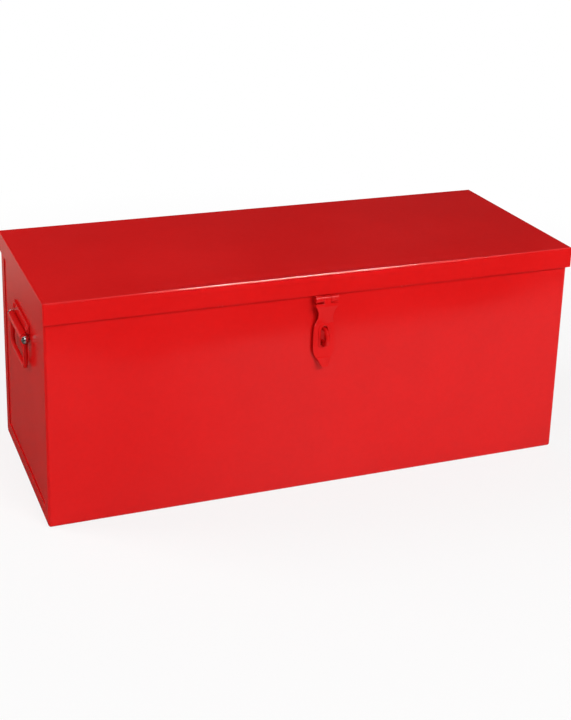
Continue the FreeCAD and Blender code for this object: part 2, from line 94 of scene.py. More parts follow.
class EnamelSettings(bpy.types.PropertyGroup):
    """The red stoving enamel on every sheet and fitting."""

    colour: bpy.props.FloatVectorProperty(
        name="Colour",
        description="Linear colour of the enamel",
        subtype="COLOR",
        size=4,
        min=0.0,
        max=1.0,
        default=(0.700, 0.0074, 0.0074, 1.0),
    )
    roughness: bpy.props.FloatProperty(
        name="Roughness",
        description="How much the gloss is spread",
        subtype="FACTOR",
        default=0.14,
        min=0.02,
        max=1.0,
    )
    specular: bpy.props.FloatProperty(
        name="Specular level",
        description="Strength of the enamel's own reflection",
        subtype="FACTOR",
        default=0.186,
        min=0.0,
        max=1.0,
    )
    peel_size: bpy.props.FloatProperty(
        name="Orange peel size",
        description="Distance between the small swells left by spraying",
        unit="LENGTH",
        default=2.2 * MM,
    )
    peel_depth: bpy.props.FloatProperty(
        name="Orange peel depth",
        description="Height of those swells",
        unit="LENGTH",
        default=0.004 * MM,
        precision=6,
    )
    sheet_wave: bpy.props.FloatProperty(
        name="Sheet wave",
        description="Height of the slow waves in a large flat sheet",
        unit="LENGTH",
        default=0.25 * MM,
        precision=6,
    )
    chips: bpy.props.FloatProperty(
        name="Edge chips",
        description="Share of each softened edge that shows small chips",
        subtype="FACTOR",
        default=0.12,
        min=0.0,
        max=1.0,
    )


class FittingSettings(bpy.types.PropertyGroup):
    """Edges and wires of the sheets and fittings."""

    sheet_edge: bpy.props.FloatProperty(
        name="Sheet edge softening",
        description="Radius that the enamel gives a cut sheet edge",
        unit="LENGTH",
        default=0.28 * MM,
        precision=6,
    )
    fitting_edge: bpy.props.FloatProperty(
        name="Fitting edge softening",
        description="Radius on the edges of hasp, hinges and brackets",
        unit="LENGTH",
        default=0.35 * MM,
        precision=6,
    )
    bail_wire: bpy.props.FloatProperty(
        name="Bail wire diameter",
        description="Diameter of the wire that the handles are bent from",
        unit="LENGTH",
        default=6.0 * MM,
        precision=5,
    )
    staple_wire: bpy.props.FloatProperty(
        name="Staple wire diameter",
        description="Diameter of the staple's loop",
        unit="LENGTH",
        default=5.5 * MM,
        precision=5,
    )
    paint_fillet: bpy.props.FloatProperty(
        name="Paint fillet",
        description="How far enamel spreads round the foot of a rivet's head",
        unit="LENGTH",
        default=0.35 * MM,
        precision=6,
    )


class StudioSettings(bpy.types.PropertyGroup):
    """Camera, lamps and floor."""

    camera_place: bpy.props.FloatVectorProperty(
        name="Camera place",
        description="Where the camera stands",
        subtype="TRANSLATION",
        unit="LENGTH",
        default=(-0.63159, -1.59377, 0.85879),
    )
    camera_turn: bpy.props.FloatVectorProperty(
        name="Camera turn",
        description="The camera's rotation about X, Y and Z",
        subtype="EULER",
        unit="ROTATION",
        default=(math.radians(72.6271), math.radians(-1.5436), math.radians(-21.1642)),
    )
    lens: bpy.props.FloatProperty(
        name="Lens",
        description="Focal length in millimetres for a 36 mm sensor",
        default=68.16,
    )
    rise: bpy.props.FloatProperty(
        name="Lens rise",
        description="Vertical shift that the photograph's framing needs",
        default=-0.20,
    )
    ambient: bpy.props.FloatProperty(
        name="Ambient",
        description="Strength of the soft light from all round",
        default=0.285,
    )
    front_power: bpy.props.FloatProperty(
        name="Front softbox",
        description="Power of the large softbox beside the camera",
        unit="POWER",
        default=58.0,
    )
    edge_power: bpy.props.FloatProperty(
        name="Edge strip",
        description="Power of the narrow strip that draws a line along the lid's front edge",
        unit="POWER",
        default=112.0,
    )
    glint_power: bpy.props.FloatProperty(
        name="Front strip",
        description="Power of the narrow strip whose small lights show on knuckles, pins and wires",
        unit="POWER",
        default=44.0,
    )
    box_power: bpy.props.FloatProperty(
        name="Pin box",
        description="Power of the box that the handle pin's head mirrors",
        unit="POWER",
        default=8.0,
    )
    side_power: bpy.props.FloatProperty(
        name="Side fill",
        description="Power of the fill beside the left end",
        unit="POWER",
        default=28.3,
    )
    floor_colour: bpy.props.FloatVectorProperty(
        name="Floor colour",
        description="Pale colour of the floor",
        subtype="COLOR",
        size=4,
        default=(0.86, 0.86, 0.86, 1.0),
    )


class ChestSettings(bpy.types.PropertyGroup):
    """All the chest's settings, one group for each part of the panel."""

    enamel: bpy.props.PointerProperty(type=EnamelSettings)
    fittings: bpy.props.PointerProperty(type=FittingSettings)
    studio: bpy.props.PointerProperty(type=StudioSettings)


# Surfaces from arrays


def sheet_of_quads(rows, columns, wrap_rows=False, wrap_columns=False):
    """Corner numbers of the quads on a grid: each joins a point to the next along and across."""
    i = np.arange(rows if wrap_rows else rows - 1)
    j = np.arange(columns if wrap_columns else columns - 1)
    i, j = np.meshgrid(i, j, indexing="ij")
    up = (i + 1) % rows
    on = (j + 1) % columns
    quads = np.stack([i * columns + j, i * columns + on, up * columns + on, up * columns + j], -1)
    return quads.reshape(-1, 4)


def turned_surface(stations, radii, base, axis):
    """A surface of revolution: at each station along the axis, a circle of the radius given there.

    Point (i, j) is base + axis * station i + radius i * (across * cos t j + other * sin t j)."""
    axis = np.array(axis, float)
    across = np.array([0.0, 0.0, 1.0]) if abs(axis[2]) < 0.5 else np.array([1.0, 0.0, 0.0])
    other = np.cross(axis, across)
    angle = np.linspace(0.0, 2.0 * np.pi, ROUND, endpoint=False)
    ring = np.cos(angle)[:, None] * across + np.sin(angle)[:, None] * other
    points = (
        np.array(base, float)
        + np.array(stations)[:, None, None] * axis
        + np.array(radii)[:, None, None] * ring[None]
    )
    return points


def swept_surface(path, side, half_side, half_other):
    """An oval carried along a path, with a and b as its two half-widths at each point.

    Point (i, j) is path i + a i * side i * cos t j + b i * other i * sin t j, where other is square
    to side and to the path's direction."""
    direction = np.gradient(path, axis=0)
    direction /= np.linalg.norm(direction, axis=1)[:, None]
    other = np.cross(direction, side)
    other /= np.linalg.norm(other, axis=1)[:, None]
    angle = np.linspace(0.0, 2.0 * np.pi, ROUND, endpoint=False)
    return (
        path[:, None]
        + side[:, None] * (half_side[:, None] * np.cos(angle))[..., None]
        + other[:, None] * (half_other[:, None] * np.sin(angle))[..., None]
    )


def closed_tube(points):
    """Vertices and faces of a tube of rings, with both ends closed by a fan to their middles."""
    rows, columns, _ = points.shape
    quads = sheet_of_quads(rows, columns, wrap_columns=True)
    flat = points.reshape(-1, 3)
    first = len(flat)
    ends = np.stack([points[0].mean(0), points[-1].mean(0)])
    j = np.arange(columns)
    on = (j + 1) % columns
    start = np.stack([np.full(columns, first), on, j], -1)
    last = (rows - 1) * columns
    finish = np.stack([np.full(columns, first + 1), last + j, last + on], -1)
    return np.concatenate([flat, ends]), [quads, np.concatenate([start, finish])]


def closed_ring(points):
    """Vertices and faces of a ring whose section closes on itself."""
    rows, columns, _ = points.shape
    return points.reshape(-1, 3), [sheet_of_quads(rows, columns, True, True)]


def placed(name, data):
    """An object for a mesh, lamp or camera, linked to the scene."""
    thing = bpy.data.objects.new(name, data)
    bpy.context.scene.collection.objects.link(thing)
    return thing


def shade_smooth(mesh):
    """Marks every face as smooth."""
    mesh.polygons.foreach_set("use_smooth", np.ones(len(mesh.polygons), bool))


def one_mesh(name, parts):
    """One object from several closed surfaces, each as vertices and faces, facing outwards."""
    vertices = []
    faces = []
    base = 0
    for points, groups in parts:
        vertices.append(points)
        for group in groups:
            faces.extend((group + base).tolist())
        base += len(points)
    mesh = bpy.data.meshes.new(name)
    mesh.from_pydata(np.concatenate(vertices), [], faces)
    shade_smooth(mesh)
    work = bmesh.new()
    work.from_mesh(mesh)
    bmesh.ops.recalc_face_normals(work, faces=work.faces)
    work.to_mesh(mesh)
    work.free()
    return placed(name, mesh)


def soft_copy(name, width):
    """A copy of a solid with its sharp edges rounded by a small bevel; 'edge' marks its faces.

    A corner that the bevel throws further off the solid than a bevel can go is put back on it."""
    flat_enough = math.radians(0.2)
    sharp_from = math.radians(30.0)
    furthest = 0.35 * width
    work = bmesh.new()
    work.from_mesh(solid(name).data)
    skin = BVHTree.FromBMesh(work)
    layer = work.faces.layers.float.new("edge")
    bmesh.ops.remove_doubles(work, verts=work.verts, dist=WELD)
    bmesh.ops.dissolve_limit(work, angle_limit=flat_enough, verts=work.verts, edges=work.edges)
    work.normal_update()
    sharp = [
        e for e in work.edges
        if e.is_manifold and e.is_convex and e.calc_face_angle(0.0) > sharp_from
    ]
    done = bmesh.ops.bevel(
        work, geom=sharp, offset=width, offset_type="WIDTH", segments=2, profile=0.5,
        affect="EDGES", clamp_overlap=False,
    )
    for corner in work.verts:
        near, _, _, gap = skin.find_nearest(corner.co)
        if gap > furthest:
            corner.co = near
    for face in done["faces"]:
        face[layer] = 1.0
    mesh = bpy.data.meshes.new(name + "_enamelled")
    work.to_mesh(mesh)
    work.free()
    shade_smooth(mesh)
    thing = placed(name + "_enamelled", mesh)
    even = thing.modifiers.new("Even shading", "WEIGHTED_NORMAL")
    even.keep_sharp = True
    return thing


def cover(thing, material):
    """Gives a piece one finish all over."""
    thing.data.materials.clear()
    thing.data.materials.append(material)


def dress(thing, body, name, material):
    """Puts a new piece in the place of a solid: its body and its finish."""
    cover(thing, material)
    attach(thing, body)
    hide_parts(name)


# Finishes


def group(name, inputs, outputs):
    """A new shader node group with its sockets; returns it and its two end nodes."""
    tree = bpy.data.node_groups.new(name, "ShaderNodeTree")
    for label, kind, value in inputs:
        socket = tree.interface.new_socket(name=label, in_out="INPUT", socket_type=kind)
        socket.default_value = value
    for label, kind in outputs:
        tree.interface.new_socket(name=label, in_out="OUTPUT", socket_type=kind)
    return tree, tree.nodes.new("NodeGroupInput"), tree.nodes.new("NodeGroupOutput")


def new_material(name):
    """A new material, its node tree and its Principled shader."""
    made = bpy.data.materials.new(name)
    made.use_nodes = True
    return made, made.node_tree, made.node_tree.nodes["Principled BSDF"]


def node(tree, kind, values=None, **settings):
    """A node with its settings and the start values of its sockets."""
    made = tree.nodes.new(kind)
    for key, value in settings.items():
        setattr(made, key, value)
    for key, value in (values or {}).items():
        made.inputs[key].default_value = value
    return made


def arithmetic(tree, operation, first, second, clamp=False):
    """A Math node fed by sockets or numbers; returns its value."""
    made = node(tree, "ShaderNodeMath", operation=operation, use_clamp=clamp)
    for k, value in enumerate((first, second)):
        if isinstance(value, float):
            made.inputs[k].default_value = value
        else:
            tree.links.new(value, made.inputs[k])
    return made.outputs[0]


def noise(tree, vector, scale, detail=2.0, rough=0.5):
    """The value of noise with a given number of cells a metre over a vector."""
    made = node(tree, "ShaderNodeTexNoise", {"Scale": scale, "Detail": detail, "Roughness": rough})
    tree.links.new(vector, made.inputs["Vector"])
    return made.outputs["Fac"]


def ramp(tree, value, low, high, to_low=0.0, to_high=1.0):
    """Takes a value smoothly from one range to another."""
    ends = {"From Min": low, "From Max": high, "To Min": to_low, "To Max": to_high}
    made = node(tree, "ShaderNodeMapRange", ends, interpolation_type="SMOOTHSTEP")
    tree.links.new(value, made.inputs["Value"])
    return made.outputs["Result"]


def scaled_colour(tree, colour, tone):
    """A colour socket times a tone."""
    made = node(tree, "ShaderNodeVectorMath", operation="SCALE")
    tree.links.new(colour, made.inputs[0])
    tree.links.new(tone, made.inputs["Scale"])
    return made.outputs["Vector"]


def stretched(tree, place, scale):
    """The place stretched along the axes, so that noise over it runs in streaks."""
    made = node(tree, "ShaderNodeMapping", {"Scale": scale})
    tree.links.new(place, made.inputs["Vector"])
    return made.outputs["Vector"]


def sprayed_enamel_group():
    """Sprayed enamel: colour drift, orange peel, sheet waves, fine scuffs and chips on edges."""
    tree, start, end = group(
        "Sprayed enamel",
        [
            ("Place", "NodeSocketVector", (0.0, 0.0, 0.0)),
            ("Edge", "NodeSocketFloat", 0.0),
            ("Colour", "NodeSocketColor", (0.7, 0.005, 0.01, 1.0)),
            ("Primer", "NodeSocketColor", (0.62, 0.42, 0.40, 1.0)),
            ("Roughness", "NodeSocketFloat", 0.2),
            ("Peel scale", "NodeSocketFloat", 450.0),
            ("Peel depth", "NodeSocketFloat", 0.000004),
            ("Wave depth", "NodeSocketFloat", 0.0002),
            ("Chips", "NodeSocketFloat", 0.1),
        ],
        [
            ("Colour", "NodeSocketColor"),
            ("Roughness", "NodeSocketFloat"),
            ("Height", "NodeSocketFloat"),
        ],
    )
    place = start.outputs["Place"]

    # Colour: a slow drift and a fine mottle over the enamel
    drift = noise(tree, place, 5.0, 3.0, 0.55)
    mottle = noise(tree, place, 160.0, 2.0)
    tone = arithmetic(
        tree, "MULTIPLY",
        ramp(tree, drift, 0.3, 0.7, 0.955, 1.035), ramp(tree, mottle, 0.3, 0.7, 0.985, 1.01),
    )
    red = scaled_colour(tree, start.outputs["Colour"], tone)

    # Chips: dense spots that pass a limit, on softened edges only
    spots = noise(tree, place, 900.0, 3.0, 0.6)
    patches = noise(tree, place, 42.0, 2.0)
    dense = arithmetic(tree, "ADD", spots, arithmetic(tree, "MULTIPLY", patches, 0.9))
    share = arithmetic(tree, "MULTIPLY", start.outputs["Chips"], 0.9)
    over = arithmetic(tree, "SUBTRACT", dense, arithmetic(tree, "SUBTRACT", 1.28, share))
    edge = start.outputs["Edge"]
    chip = arithmetic(tree, "MULTIPLY", ramp(tree, over, 0.0, 0.03), edge, clamp=True)
    mixed = node(tree, "ShaderNodeMix", data_type="RGBA")
    tree.links.new(chip, mixed.inputs["Factor"])
    tree.links.new(red, mixed.inputs["A"])
    tree.links.new(start.outputs["Primer"], mixed.inputs["B"])
    tree.links.new(mixed.outputs["Result"], end.inputs["Colour"])

    # Roughness: scuffs in upright streaks, haze with the drift, and dull chips
    wipe = noise(tree, stretched(tree, place, (1.0, 1.0, 7.0)), 60.0, 4.0, 0.65)
    scuff = ramp(tree, wipe, 0.45, 0.85, 0.0, 0.03)
    haze = ramp(tree, drift, 0.35, 0.7, -0.02, 0.035)
    rough = arithmetic(tree, "ADD", start.outputs["Roughness"], scuff)
    rough = arithmetic(tree, "ADD", rough, haze)
    rough = arithmetic(tree, "ADD", rough, arithmetic(tree, "MULTIPLY", chip, 0.35), clamp=True)
    tree.links.new(rough, end.inputs["Roughness"])

    # Height in metres: orange peel, the sheet's slow waves and the chips' depth
    peel = node(tree, "ShaderNodeTexNoise", {"Detail": 1.5, "Roughness": 0.4})
    tree.links.new(place, peel.inputs["Vector"])
    tree.links.new(start.outputs["Peel scale"], peel.inputs["Scale"])
    wave = noise(tree, place, 2.6, 1.0, 0.3)
    height = arithmetic(
        tree, "ADD",
        arithmetic(tree, "MULTIPLY", peel.outputs["Fac"], start.outputs["Peel depth"]),
        arithmetic(tree, "MULTIPLY", wave, start.outputs["Wave depth"]),
    )
    sunk = arithmetic(tree, "SUBTRACT", height, arithmetic(tree, "MULTIPLY", chip, 0.08 * MM))
    tree.links.new(sunk, end.inputs["Height"])
    return tree


def drawn_steel_group():
    """Bright drawn steel: fine rings round its axis and faint tarnish."""
    tree, start, end = group(
        "Drawn steel",
        [
            ("Place", "NodeSocketVector", (0.0, 0.0, 0.0)),
            ("Colour", "NodeSocketColor", (0.58, 0.58, 0.57, 1.0)),
            ("Roughness", "NodeSocketFloat", 0.08),
        ],
        [
            ("Colour", "NodeSocketColor"),
            ("Roughness", "NodeSocketFloat"),
            ("Height", "NodeSocketFloat"),
        ],
    )
    place = start.outputs["Place"]
    dull = noise(tree, place, 220.0, 4.0, 0.6)
    tone = ramp(tree, dull, 0.3, 0.72, 0.62, 1.06)
    tree.links.new(scaled_colour(tree, start.outputs["Colour"], tone), end.inputs["Colour"])
    tarnish = ramp(tree, dull, 0.35, 0.7, 0.0, 0.2)
    rough = arithmetic(tree, "ADD", start.outputs["Roughness"], tarnish)
    tree.links.new(rough, end.inputs["Roughness"])
    rings = noise(tree, stretched(tree, place, (0.25, 6.0, 0.25)), 1500.0, 2.0)
    tree.links.new(arithmetic(tree, "MULTIPLY", rings, 0.006 * MM), end.inputs["Height"])
    return tree


def place_of(tree):
    """The surface's own coordinates."""
    return node(tree, "ShaderNodeTexCoord").outputs["Object"]


def bump_from(tree, height, principled):
    """Feeds a height in metres to the shader's normal."""
    bump = node(tree, "ShaderNodeBump", {"Strength": 1.0, "Distance": 1.0})
    tree.links.new(height, bump.inputs["Height"])
    tree.links.new(bump.outputs["Normal"], principled.inputs["Normal"])


def enamel(name, wave=1.0, shine=1.0, spread=1.0):
    """The red enamel as one material; the sheet's waves, the gloss and its spread can be scaled."""
    ready = bpy.data.materials.get(name)
    if ready:
        return ready
    s = bpy.context.scene.site_chest.enamel
    made, tree, principled = new_material(name)
    coat = node(tree, "ShaderNodeGroup")
    coat.node_tree = bpy.data.node_groups.get("Sprayed enamel") or sprayed_enamel_group()
    edge = node(tree, "ShaderNodeAttribute", attribute_name="edge")
    tree.links.new(place_of(tree), coat.inputs["Place"])
    tree.links.new(edge.outputs["Fac"], coat.inputs["Edge"])
    coat.inputs["Colour"].default_value = s.colour
    coat.inputs["Roughness"].default_value = s.roughness * spread
    coat.inputs["Peel scale"].default_value = 1.0 / s.peel_size
    coat.inputs["Peel depth"].default_value = s.peel_depth
    coat.inputs["Wave depth"].default_value = s.sheet_wave * wave
    coat.inputs["Chips"].default_value = s.chips
    tree.links.new(coat.outputs["Colour"], principled.inputs["Base Color"])
    tree.links.new(coat.outputs["Roughness"], principled.inputs["Roughness"])
    principled.inputs["Specular IOR Level"].default_value = s.specular * shine
    bump_from(tree, coat.outputs["Height"], principled)
    return made


def fitting_enamel():
    """The enamel on the hasp and the rear hinge: no sheet waves and a duller, wider gloss."""
    return enamel("Red enamel on fittings", wave=0.0, shine=0.55, spread=1.4)


def bright_steel():
    """The bare steel of the handle pins and the rear hinge's pin."""
    ready = bpy.data.materials.get("Bright drawn steel")
    if ready:
        return ready
    made, tree, principled = new_material("Bright drawn steel")
    steel = node(tree, "ShaderNodeGroup")
    steel.node_tree = drawn_steel_group()
    tree.links.new(place_of(tree), steel.inputs["Place"])
    tree.links.new(steel.outputs["Colour"], principled.inputs["Base Color"])
    tree.links.new(steel.outputs["Roughness"], principled.inputs["Roughness"])
    principled.inputs["Metallic"].default_value = 1.0
    bump_from(tree, steel.outputs["Height"], principled)
    return made


# Shapes of the fittings


def dome(height, radius, start, way):
    """Stations and radii of a round cap: a circle's arc from the rim at start up to its top.

    The ball's radius is (radius^2 + height^2) / (2 * height). The top ring keeps a tiny radius."""
    rings = 9
    least = 0.001 * MM
    ball = (radius ** 2 + height ** 2) / (2.0 * height)
    angle = np.linspace(math.asin(min(1.0, radius / ball)), 0.0, rings)
    station = start + way * (height - ball * (1.0 - np.cos(angle)))
    return station, np.maximum(ball * np.sin(angle), least)


def rivet_surface(base, axis, grip, shank, head, head_rise, tail, tail_rise, fillet):
    """A rivet turned about its axis, with a fillet of enamel round the foot of its head.

    The base is where the head meets the sheet, and the grip is the shank's length behind it."""
    up, up_r = dome(head_rise, head, 0.0, 1.0)
    foot = fillet * np.array([0.0, 0.25, 0.7])
    foot_r = [head + 0.9 * fillet, head + 0.35 * fillet, 0.985 * head]
    clear = up > 0.8 * fillet
    down, down_r = dome(tail_rise, tail, -grip, -1.0)
    stations = np.concatenate([down[::-1], [-grip, 0.0], foot, up[clear]])
    radii = np.concatenate([down_r[::-1], [shank, shank], foot_r, up_r[clear]])
    return closed_tube(turned_surface(stations, radii, base, axis))


def row_of_rivets(name, axis, head, fillet):
    """Rivets where the solid has them: one for each separate block along its longest side."""
    least_gap = 8.0 * MM
    points = np.array([v.co for v in solid(name).data.vertices])
    along = int(np.argmax(np.ptp(points, axis=0)))
    order = np.sort(points[:, along])
    breaks = np.nonzero(np.diff(order) > least_gap)[0]
    starts = np.concatenate([[order[0]], order[breaks + 1]])
    stops = np.concatenate([order[breaks], [order[-1]]])
    axis = np.array(axis, float)
    side = int(np.argmax(np.abs(axis)))
    across = 3 - along - side
    parts = []
    for low, high in zip(starts, stops):
        own = points[(points[:, along] >= low) & (points[:, along] <= high)]
        middle = (own.max(0) + own.min(0)) / 2.0
        depth = own @ axis
        base = middle.copy()
        base[side] = 0.0
        base += axis * (depth.max() - head["rise"])
        grip = np.ptp(depth) - head["rise"] - head["tail_rise"]
        radius = np.ptp(own[:, across]) / 2.0
        parts.append(rivet_surface(
            base, axis, grip, head["shank"], radius, head["rise"],
            head["tail"], head["tail_rise"], fillet,
        ))
    return one_mesh(name + "_domed", parts)


def in_plane_x(x, flat):
    """A path of (y, z) points carried into space at one x, and the direction across it."""
    path = np.stack([np.full(len(flat), x), flat[:, 0], flat[:, 1]], -1)
    return path, np.tile([1.0, 0.0, 0.0], (len(path), 1))


def forged_eye(centre, wire, outside, bore):
    """A ring round an axis along Y whose section is a rounded oblong from bore to outside.

    The section's point is sign(cos u) |cos u|^p across and sign(sin u) |sin u|^p along the axis."""
    power = 0.6
    turn = np.linspace(0.0, 2.0 * np.pi, ROUND, endpoint=False)
    section = np.linspace(0.0, 2.0 * np.pi, 20, endpoint=False)
    wide = np.sign(np.cos(section)) * np.abs(np.cos(section)) ** power
    long = np.sign(np.sin(section)) * np.abs(np.sin(section)) ** power
    radius = (outside + bore) / 2.0 + (outside - bore) / 2.0 * wide
    x, y, z = centre
    return closed_ring(np.stack([
        x + np.outer(np.cos(turn), radius),
        y + np.tile(wire / 2.0 * long, (ROUND, 1)),
        z + np.outer(np.sin(turn), radius),
    ], -1))


def bail_surface(pivot, side, wire):
    """The handle's bent wire with a forged eye at each end, hanging from its pin.

    The bar's middle is the drop below the pin. Each leg starts inside its eye, where it swells
    sideways as exp(-(depth / reach)^2)."""
    drop = 39.0 * MM
    bend = 10.0 * MM
    eye = 5.2 * MM
    bore = 3.05 * MM
    neck = eye * 0.74
    swell_reach = 4.0 * MM
    swell_wide = 0.75 * MM
    swell_flat = 0.06 * MM
    leg = low_high("handle_bail_" + side)[1][1] - wire / 2.0
    x, _, top = pivot
    bottom = top - drop
    run = np.linspace(neck, drop - bend, 22)
    right = np.stack([np.full(len(run), leg), top - run], -1)
    turn = np.linspace(0.0, np.pi / 2.0, 18)[1:]
    corner = np.stack(
        [leg - bend + bend * np.cos(turn), bottom + bend - bend * np.sin(turn)], -1
    )
    along = np.linspace(leg - bend, 0.0, 14)[1:]
    bar = np.stack([along, np.full(len(along), bottom)], -1)
    half = np.concatenate([right, corner, bar])
    other = half[::-1][1:] * [-1.0, 1.0]
    path, across = in_plane_x(x, np.concatenate([half, other]))
    swell = np.exp(-(((top - path[:, 2] - neck) / swell_reach) ** 2))
    half_x = wire / 2.0 + swell_wide * swell
    half_y = wire / 2.0 - swell_flat * swell
    parts = [closed_tube(swept_surface(path, across, half_x, half_y))]
    for y in (-leg, leg):
        parts.append(forged_eye((x, y, top), wire, eye, bore))
    return parts


def staple_surface(wire):
    """The staple: a wire carried out, round a half circle and back, with upset ends inside."""
    tenon = 2.25 * MM
    upset = 4.0 * MM
    low, high = low_high("staple")
    front = low_high("body_shell")[0][1]
    middle = (low[2] + high[2]) / 2.0
    spread = (high[2] - low[2]) / 2.0 - upset
    turn_y = low[1] + wire / 2.0 + spread
    turn = np.linspace(-np.pi / 2.0, np.pi / 2.0, 33)
    out = np.linspace(front, turn_y, 8)
    bottom = np.stack([out, np.full(len(out), middle - spread)], -1)
    arc = np.stack([turn_y - spread * np.cos(turn), middle + spread * np.sin(turn)], -1)
    top = np.stack([out[::-1], np.full(len(out), middle + spread)], -1)
    path, across = in_plane_x(0.0, np.concatenate([bottom, arc[1:-1], top]))
    even = np.full(len(path), wire / 2.0)
    parts = [closed_tube(swept_surface(path, across, even, even))]
    cap, cap_r = dome(high[1] - front - SHEET, upset, SHEET, 1.0)
    stations = np.concatenate([[0.0, SHEET - STEP], cap])
    radii = np.concatenate([[tenon, tenon], cap_r])
    for leg in (middle - spread, middle + spread):
        parts.append(closed_tube(turned_surface(stations, radii, (0.0, front, leg), (0, 1, 0))))
    return parts


def pin_surface(pivot, side):
    """A handle's pin turned about Y: a drawn shank and two domed heads with a small square foot."""
    shank = 3.0 * MM
    head = 5.2 * MM
    head_height = 3.0 * MM
    square_part = 0.35
    soft = 0.15 * MM
    low, high = low_high("handle_pin_" + side)
    middle = ((low[0] + high[0]) / 2.0, 0.0, pivot[2])
    inner = high[1] - head_height
    foot = inner + head_height * square_part
    cap, cap_r = dome(high[1] - foot, head, foot, 1.0)
    stations = np.concatenate([[0.0, inner - STEP, inner, inner + soft, foot - soft], cap])
    radii = np.concatenate([[shank, shank, head - soft, head, head], cap_r])
    stations = np.concatenate([-stations[::-1], stations[1:]])
    radii = np.concatenate([radii[::-1], radii[1:]])
    return [closed_tube(turned_surface(stations, radii, middle, (0, 1, 0)))]


# Operators


class SITECHEST_OT_body(bpy.types.Operator):
    """Gives the folded body and its end panels soft edges and enamel"""

    bl_idname = "site_chest.body"
    bl_label = "Dress the body"

    def execute(self, context):
        edge = context.scene.site_chest.fittings.sheet_edge
        paint = enamel("Red enamel on the body")
        for name in ("body_shell", "end_panel_left", "end_panel_right"):
            dress(soft_copy(name, edge), "chest", name, paint)
        return {"FINISHED"}


class SITECHEST_OT_lid(bpy.types.Operator):
    """Gives the lid soft edges and enamel"""

    bl_idname = "site_chest.lid"
    bl_label = "Dress the lid"

    def execute(self, context):
        edge = context.scene.site_chest.fittings.sheet_edge
        paint = enamel("Red enamel on the lid")
        dress(soft_copy("lid_shell", edge), "lid", "lid_shell", paint)
        return {"FINISHED"}


class SITECHEST_OT_rear_hinge(bpy.types.Operator):
    """Dresses the rear hinge: two leaves, their rivets and the long pin"""

    bl_idname = "site_chest.rear_hinge"
    bl_label = "Dress the rear hinge"

    def execute(self, context):
        s = context.scene.site_chest.fittings
        head = {"rise": 1.1 * MM, "shank": 1.6 * MM, "tail": 2.4 * MM, "tail_rise": 1.2 * MM}
        paint = fitting_enamel()
        for body, leaf, rivets in (
            ("chest", "hinge_body_leaf", "hinge_body_rivets"),
            ("lid", "hinge_lid_leaf", "hinge_lid_rivets"),
        ):
            dress(soft_copy(leaf, s.sheet_edge), body, leaf, paint)
            row = row_of_rivets(rivets, (0, 1, 0), head, s.paint_fillet)
            dress(row, body, rivets, paint)
        cover(solid("hinge_pin"), bright_steel())
        return {"FINISHED"}


class SITECHEST_OT_hasp(bpy.types.Operator):
    """Dresses the hasp: fixed leaf, strap, pin and staple"""

    bl_idname = "site_chest.hasp"
    bl_label = "Dress the hasp"

    def execute(self, context):
        s = context.scene.site_chest.fittings
        paint = fitting_enamel()
        for body, name in (("lid", "hasp_fixed_leaf"), ("hasp", "hasp_strap")):
            dress(soft_copy(name, s.fitting_edge), body, name, paint)
        loop = one_mesh("staple_wire", staple_surface(s.staple_wire))
        dress(loop, "chest", "staple", paint)
        cover(solid("hasp_pin"), paint)
        return {"FINISHED"}


class SITECHEST_OT_handles(bpy.types.Operator):
    """Dresses both drop handles: brackets, rivets, pins and bails"""

    bl_idname = "site_chest.handles"
    bl_label = "Dress the handles"

    def execute(self, context):
        s = context.scene.site_chest.fittings
        paint = enamel("Red enamel on the handles", wave=0.0, shine=1.25)
        head = {"rise": 2.2 * MM, "shank": 2.5 * MM, "tail": 3.8 * MM, "tail_rise": 1.6 * MM}
        for side, outwards in (("left", (-1, 0, 0)), ("right", (1, 0, 0))):
            pivot = pivot_of(side + "_bail_swing")
            name = "handle_bracket_" + side
            dress(soft_copy(name, s.fitting_edge), "chest", name, paint)
            name = "handle_rivets_" + side
            row = row_of_rivets(name, outwards, head, s.paint_fillet)
            dress(row, "chest", name, paint)
            name = "handle_pin_" + side
            pin = one_mesh(name + "_turned", pin_surface(pivot, side))
            dress(pin, "chest", name, bright_steel())
            name = "handle_bail_" + side
            bail = one_mesh(name + "_bent", bail_surface(pivot, side, s.bail_wire))
            dress(bail, side + "_bail", name, paint)
        return {"FINISHED"}


class SITECHEST_OT_stage(bpy.types.Operator):
    """Sets the floor, the soft lamps, the white surround and the camera"""

    bl_idname = "site_chest.stage"
    bl_label = "Set the stage"

    def execute(self, context):
        s = context.scene.site_chest.studio
        add_floor(s)
        add_world(context.scene, s)
        add_lamp("Front softbox", (0.55, -2.55, 1.75), (0.0, 0.0, 0.15), 1.6, 0.35, s.front_power)
        add_lamp("Side fill", (-1.9, 0.75, 1.7), (-0.35, 0.0, 0.15), 1.0, 1.0, s.side_power)
        add_glint("Edge strip", (0.63, 0.35, 2.0), (0.63, -0.1, 0.25), 0.66, 0.08, s.edge_power)
        add_glint("Front strip", (0.95, -1.65, 1.95), (0.85, -0.1, 0.25), 1.0, 0.08, s.glint_power)
        add_glint("Pin box", (-0.45, -2.2, 1.0), (-0.35, -0.05, 0.21), 1.2, 0.9, s.box_power)
        add_curtain()
        # painted shade and dark reflections on sheets that only gloss sees
        add_painted_reflection_sheet()
        add_camera(context.scene, s)
        context.scene.view_settings.view_transform = "Standard"
        return {"FINISHED"}


# The stage


def level_circle(radius, height, sides=96):
    """Points round a level circle about the origin."""
    angle = np.linspace(0.0, 2.0 * np.pi, sides, endpoint=False)
    return np.stack([radius * np.cos(angle), radius * np.sin(angle), np.full(sides, height)], -1)


def matt_material(name, roughness=1.0):
    """A new material without any gloss, its node tree and its Principled shader."""
    made, tree, principled = new_material(name)
    principled.inputs["Roughness"].default_value = roughness
    principled.inputs["Specular IOR Level"].default_value = 0.0
    return made, tree, principled


def distance_from(tree, place, middle):
    """How far a place is from a middle, in metres."""
    away = node(tree, "ShaderNodeVectorMath", {1: middle}, operation="DISTANCE")
    tree.links.new(place, away.inputs[0])
    return away.outputs["Value"]


